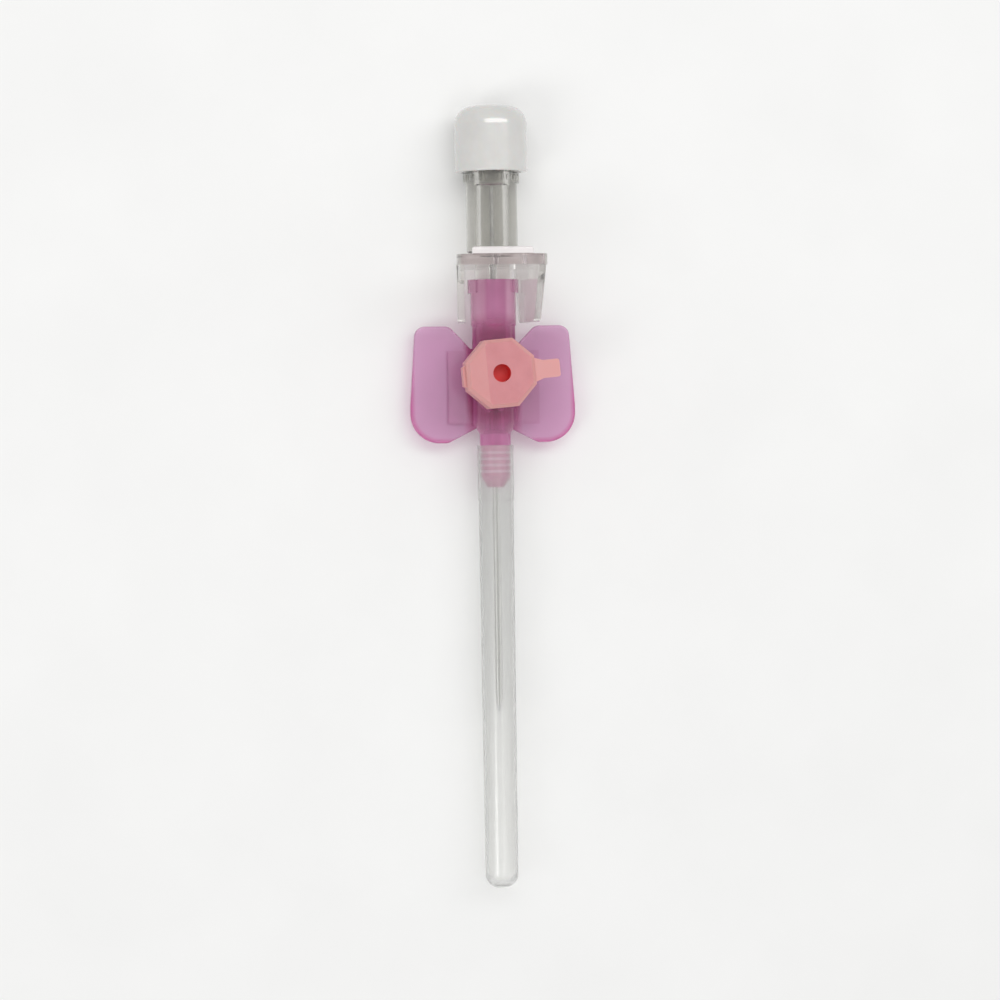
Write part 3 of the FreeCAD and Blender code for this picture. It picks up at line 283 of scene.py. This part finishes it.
def clear_plastic(
    name, colour, deep, roughness, transmission, shadow_tint, shadow_share=0.9, coat=0.25, paint=None,
    along=1.0,
):
    """Clear or tinted moulded plastic, slightly cloudy and slightly uneven, with a smooth skin."""
    made, tree, shader = material(
        name, colour, roughness, Transmission_Weight=transmission, IOR=CLEAR_IOR,
        Coat_Weight=coat, Coat_Roughness=0.06,
    )
    cloud = rising(tree, grain(tree, CLEAR_CLOUDS, along=along))
    body = blended(tree, cloud, colour, deep)
    if paint is not None:
        body = paint(tree, shader, body)
    tree.links.new(body, shader.inputs["Base Color"])
    roughened(tree, shader, CLEAR_GLOSS_GRAIN, roughness * 0.75, roughness * 1.25, along)
    bumped(tree, shader, grain(tree, CLEAR_BUMPS, BUMP_DETAIL, along), CLEAR_BUMP_HEIGHT)
    lets_lamps_through(tree, shader, shadow_tint, shadow_share)
    return made


def hub_tints(tree, shader, body):
    """Thin wings are paler than the barrel, and colour is deeper in the nose. Painted light: a deeper glow along
    the wings' rim, painted shade at the port's foot where the plastic is also thicker, a pale painted haze on the
    socket's sides and painted highlights on the nose rings.
    """
    across, along, _ = places(tree)
    away = figured(tree, "ABSOLUTE", across)
    wing, barrel = rising(tree, away, WING_ROOT), falling(tree, away, WING_ROOT)
    web = product(
        tree, within(tree, away, WEB_ACROSS, WEB_SIDE_BLUR), within(tree, along, WEB_ALONG, WEB_END_BLUR),
    )
    beyond_corner = [
        figured(tree, "MAXIMUM", figured(tree, "SUBTRACT", away, CORNER_ACROSS), 0.0),
        figured(tree, "MAXIMUM", figured(tree, "SUBTRACT", CORNER_ALONG, along), 0.0),
    ]
    # Painted glow along the wings' outer rim, the deeper pink of tinted clear plastic there.
    edge_glow = product(tree, wing, rising(tree, length_of(tree, *beyond_corner), WING_EDGE))
    # Painted haze: paler sides of the socket wall.
    side_haze = product(
        tree, within(tree, away, SOCKET_WALL, SOCKET_WALL_BLUR), rising(tree, along, SOCKET_START),
    )
    # Thicker plastic at the port's foot, with painted shade under the port cap.
    foot_shade = product(tree, falling(tree, distance_from_port(tree), PORT_FOOT), barrel)
    spigot = product(tree, barrel, falling(tree, along, SPIGOT_START))
    nose = product(tree, barrel, falling(tree, along, NOSE_START))
    # Painted highlights: pale bands where the nose rings stand.
    wave = product(tree, figured(tree, "SUBTRACT", along, RING_PLACE), math.tau / RING_PITCH)
    ring_highlight = product(
        tree, rising(tree, figured(tree, "COSINE", wave), RING_WIDTH),
        within(tree, along, RINGS_ALONG, RINGS_BLUR),
    )
    for share, colour in (
        (wing, WING_PINK), (web, WEB_PINK), (edge_glow, EDGE_GLOW_PINK), (side_haze, SIDE_HAZE_PINK), (foot_shade, FOOT_SHADE_PINK),
        (spigot, SPIGOT_PINK), (nose, NOSE_PINK), (ring_highlight, RING_HIGHLIGHT_PINK),
    ):
        body = blended(tree, share, body, colour)
    return body


def grip_tints(tree, shader, body):
    """The grip plate and cheeks are clearer than the chamber. The plate's top has painted shade with a pink cast,
    and the lip along it is a painted highlight: near-white and less clear.
    """
    _, along, up = places(tree)
    grip = falling(tree, along, GRIP_REAR)
    # Painted shade with a pink cast along the clear plate's top.
    top_shade = product(tree, grip, rising(tree, up, PLATE_TOP))
    # Painted highlight on the lip: near-white, and less clear below.
    lip_highlight = product(tree, rising(tree, along, LIP_FRONT), rising(tree, up, LIP_BOTTOM))
    for share, colour in ((grip, GRIP_CLEAR), (top_shade, PLATE_TOP_SHADE_TONE), (lip_highlight, LIP_HIGHLIGHT_TONE)):
        body = blended(tree, share, body, colour)
    tree.links.new(
        ranged(tree, lip_highlight, CLEAR_SHARE, LIP_HIGHLIGHT_SHARE, (0.0, 1.0)), shader.inputs["Transmission Weight"],
    )
    return body


def sheath_tints(tree, shader, body):
    """The sheath is painted lighter towards its closed end, as if more light fell there."""
    along = places(tree)[1]
    return blended(tree, falling(tree, along, SHEATH_ALONG), body, SHEATH_END_LIGHT_TONE)


def satin_plastic(name, colour, deep, roughness, **settings):
    """Opaque moulded plastic, slightly cloudy, with a satin skin."""
    made, tree, shader = material(name, colour, roughness, **settings)
    cloud = rising(tree, grain(tree, SATIN_CLOUDS))
    tree.links.new(blended(tree, cloud, colour, deep), shader.inputs["Base Color"])
    satin_skin(tree, shader, roughness * 0.85, roughness * 1.15)
    return made


def cap_plastic(name):
    """Salmon plastic. Painted light: a paler highlight along the chamfered rim, a lighter sloped facet towards the
    hinge, and a deep red in the lid's blind hole for light bounced around in it.
    """
    made, tree, shader = material(
        name, CAP_PALE, 0.42, Subsurface_Weight=0.25, Subsurface_Scale=0.8 * MM, IOR=1.46,
        Subsurface_Radius=(1.0, 0.45, 0.35),
    )
    cloud = rising(tree, grain(tree, CAP_CLOUDS))
    # Painted highlight along the chamfered rim.
    rim_highlight = rising(tree, octagon_distance(tree), RIM_START)
    # Painted light on the sloped facet towards the hinge.
    slope_light = ranged(tree, places_turned(tree, CAP_TURN), SLOPE_LIGHT_SHARE, 0.0, SLOPE_START)
    # Painted light: deep red within the lid's blind hole, for light bounced around in it.
    near = falling(tree, distance_from_port(tree), EYE_EDGE)
    hole_bounce = product(tree, near, within(tree, places(tree)[2], EYE_DEPTH, EYE_BLUR))
    body = CAP_PALE
    for share, colour in ((cloud, CAP_DEEP), (rim_highlight, CAP_RIM_HIGHLIGHT), (slope_light, CAP_RIM_HIGHLIGHT), (hole_bounce, EYE_BOUNCE_RED)):
        body = blended(tree, share, body, colour)
    tree.links.new(body, shader.inputs["Base Color"])
    satin_skin(tree, shader, 0.36, 0.48)
    return made


def drawn_steel(name):
    """Bright drawn steel with fine lines along the long axis."""
    made, tree, shader = material(name, tone(196, 196, 198), 0.22, Metallic=1.0)
    lines = grain(tree, STEEL_LINES, BUMP_DETAIL, 0.02)
    tree.links.new(ranged(tree, lines, 0.16, 0.34), shader.inputs["Roughness"])
    tree.links.new(blended(tree, lines, tone(176, 177, 180), tone(214, 214, 214)), shader.inputs["Base Color"])
    bumped(tree, shader, lines, STEEL_BUMP_HEIGHT, 0.4)
    return made


def striped_tube(name):
    """Thin clear tube with six fine white contrast stripes along it."""
    clear, stripe = tone(214, 214, 208), tone(240, 240, 238)
    made, tree, shader = material(name, clear, 0.25, Transmission_Weight=0.75, IOR=1.38)
    across, _, up = places(tree)
    angle = figured(tree, "ARCTAN2", figured(tree, "SUBTRACT", up, AXIS_HEIGHT), across)
    mask = rising(tree, figured(tree, "COSINE", product(tree, angle, 6.0)), (0.6, 0.75))
    tree.links.new(blended(tree, mask, clear, stripe), shader.inputs["Base Color"])
    tree.links.new(ranged(tree, mask, 0.8, 0.15, (0.0, 1.0)), shader.inputs["Transmission Weight"])
    roughened(tree, shader, TUBE_GLOSS_GRAIN, 0.22, 0.3, 0.02)
    lets_lamps_through(tree, shader, tone(235, 235, 232), 0.7)
    return made


def soft_silicone(name):
    """Milky rubber of the valve sleeve."""
    made, tree, shader = material(name, tone(214, 208, 200), 0.5, Transmission_Weight=0.25, IOR=1.41)
    cloud = grain(tree, SILICONE_CLOUDS)
    tree.links.new(blended(tree, cloud, tone(222, 216, 208), tone(204, 198, 190)), shader.inputs["Base Color"])
    roughened(tree, shader, SILICONE_GLOSS_GRAIN, 0.42, 0.58)
    return made


def dressed(frame):
    """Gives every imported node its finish."""
    clear_shadow = tone(230, 230, 228)
    steel = drawn_steel("drawn_steel")
    cap = cap_plastic("salmon_plastic")
    finishes = {
        "catheter_hub": clear_plastic(
            "pink_moulding", tone(224, 156, 198), tone(218, 146, 190), 0.17, 0.64, tone(226, 186, 212), 0.7,
            paint=hub_tints,
        ),
        "valve_sleeve": soft_silicone("soft_silicone"),
        "catheter_tube": striped_tube("striped_tube"),
        "tube_ferrule": steel,
        "port_cap_ring": cap,
        "port_cap": cap,
        "safety_clip": steel,
        "needle_cannula": steel,
        "needle_hub": clear_plastic(
            "clear_needle_hub", tone(215, 214, 210), tone(207, 206, 201), 0.09, CLEAR_SHARE, clear_shadow,
            paint=grip_tints,
        ),
        "vent_insert": clear_plastic(
            "clear_moulding", tone(222, 220, 215), tone(214, 212, 206), 0.09, CLEAR_SHARE, clear_shadow,
        ),
        "filter_disc": satin_plastic("porous_filter", tone(232, 231, 227), tone(216, 215, 210), 0.8),
        "lock_cap": satin_plastic(
            "white_plastic", tone(210, 209, 206), tone(204, 203, 200), 0.2,
            Subsurface_Weight=0.15, Subsurface_Scale=1.0 * MM, IOR=1.48, Specular_IOR_Level=0.8,
            Coat_Weight=1.0, Coat_Roughness=0.08, Coat_IOR=1.6,
        ),
        "protective_sheath": clear_plastic(
            "sheath_clear", tone(237, 237, 236), tone(230, 230, 229), 0.2, 0.86, tone(242, 242, 241),
            coat=0.06, paint=sheath_tints, along=0.03,
        ),
    }
    for name, finish in finishes.items():
        node = frame["nodes"][name]
        node.data.materials.clear()
        node.data.materials.append(finish)


def pale_floor(height):
    """A plain floor that takes the shadow. Beyond the lamps' reach it shows as bright as the surround."""
    bpy.ops.mesh.primitive_plane_add(size=FLOOR_SIZE, location=(0.0, 0.0, height))
    floor = bpy.context.object
    floor.name = "floor"
    made, tree, shader = material(
        "pale_floor", tone(238, 238, 237), 0.9, Specular_IOR_Level=0.0, Emission_Color=WHITE,
    )
    cloud = rising(tree, grain(tree, FLOOR_CLOUDS))
    tree.links.new(blended(tree, cloud, tone(241, 241, 240), tone(238, 238, 237)), shader.inputs["Base Color"])
    glow = ranged(tree, distance_from_port(tree), NEAR_GLOW, FAR_GLOW, GLOW_SPAN)
    tree.links.new(product(tree, seen_directly(tree), glow), shader.inputs["Emission Strength"])
    floor.data.materials.append(made)


def studio(height):
    """Soft studio light: an even surround, a wide softbox towards the rear end and two weaker lamps."""
    world = bpy.data.worlds.new("studio")
    bpy.context.scene.world = world
    world.use_nodes = True
    tree = world.node_tree
    background = tree.nodes["Background"]
    background.inputs["Color"].default_value = WHITE
    tree.links.new(
        ranged(tree, seen_directly(tree), WORLD_LIGHTS, WORLD_SEEN, (0.0, 1.0)), background.inputs["Strength"],
    )
    for name, place, sideways, size, watts in LAMPS:
        lamp = bpy.data.lights.new(name, "AREA")
        lamp.shape = "RECTANGLE"
        lamp.size, lamp.size_y = size
        lamp.energy = watts
        holder = bpy.data.objects.new(name, lamp)
        holder.location = place
        aim = Vector((sideways, LAMP_AIM_Y, height)) - Vector(place)
        holder.rotation_euler = aim.to_track_quat("-Z", "Y").to_euler()
        bpy.context.scene.collection.objects.link(holder)


def photo_camera():
    """Above the cannula, a little to the left of it, as the photograph was taken."""
    distance = FRAME_PIXELS * PIXEL * CAMERA_LENS / CAMERA_SENSOR
    back = Vector((-math.sin(CAMERA_LEAN), 0.0, math.cos(CAMERA_LEAN)))
    across = Vector((math.cos(CAMERA_LEAN), 0.0, math.sin(CAMERA_LEAN)))
    along = Vector((0.0, 1.0, 0.0))
    right = across * math.cos(CAMERA_TILT) - along * math.sin(CAMERA_TILT)
    up = across * math.sin(CAMERA_TILT) + along * math.cos(CAMERA_TILT)
    target = Vector((0.0, TARGET_ALONG, AXIS_HEIGHT)) + right * TARGET_RIGHT
    data = bpy.data.cameras.new("camera")
    data.lens, data.sensor_width = CAMERA_LENS, CAMERA_SENSOR
    data.clip_start, data.clip_end = 0.01, 10.0
    camera = bpy.data.objects.new("camera", data)
    turn = Matrix((right, up, back)).transposed().to_4x4()
    camera.matrix_world = Matrix.Translation(target + back * distance) @ turn
    bpy.context.scene.collection.objects.link(camera)
    bpy.context.scene.camera = camera


def plain(box):
    return [list(corner) for corner in box]


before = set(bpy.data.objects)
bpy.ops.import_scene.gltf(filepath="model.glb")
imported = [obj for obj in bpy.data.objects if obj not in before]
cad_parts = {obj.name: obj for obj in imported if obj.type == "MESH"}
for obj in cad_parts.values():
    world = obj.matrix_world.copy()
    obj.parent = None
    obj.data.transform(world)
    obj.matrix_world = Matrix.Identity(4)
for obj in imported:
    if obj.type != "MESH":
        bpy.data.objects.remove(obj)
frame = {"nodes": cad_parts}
cad_box = plain(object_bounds())
lowest = cad_box[0][2]

photo_camera()
studio(AXIS_HEIGHT)
pale_floor(lowest)
dressed(frame)

view = bpy.context.scene.view_settings
view.view_transform = "Standard"
cycles = bpy.context.scene.cycles
cycles.max_bounces = 24
cycles.transmission_bounces = 20
cycles.transparent_max_bounces = 32
cycles.sample_clamp_indirect = 3.0
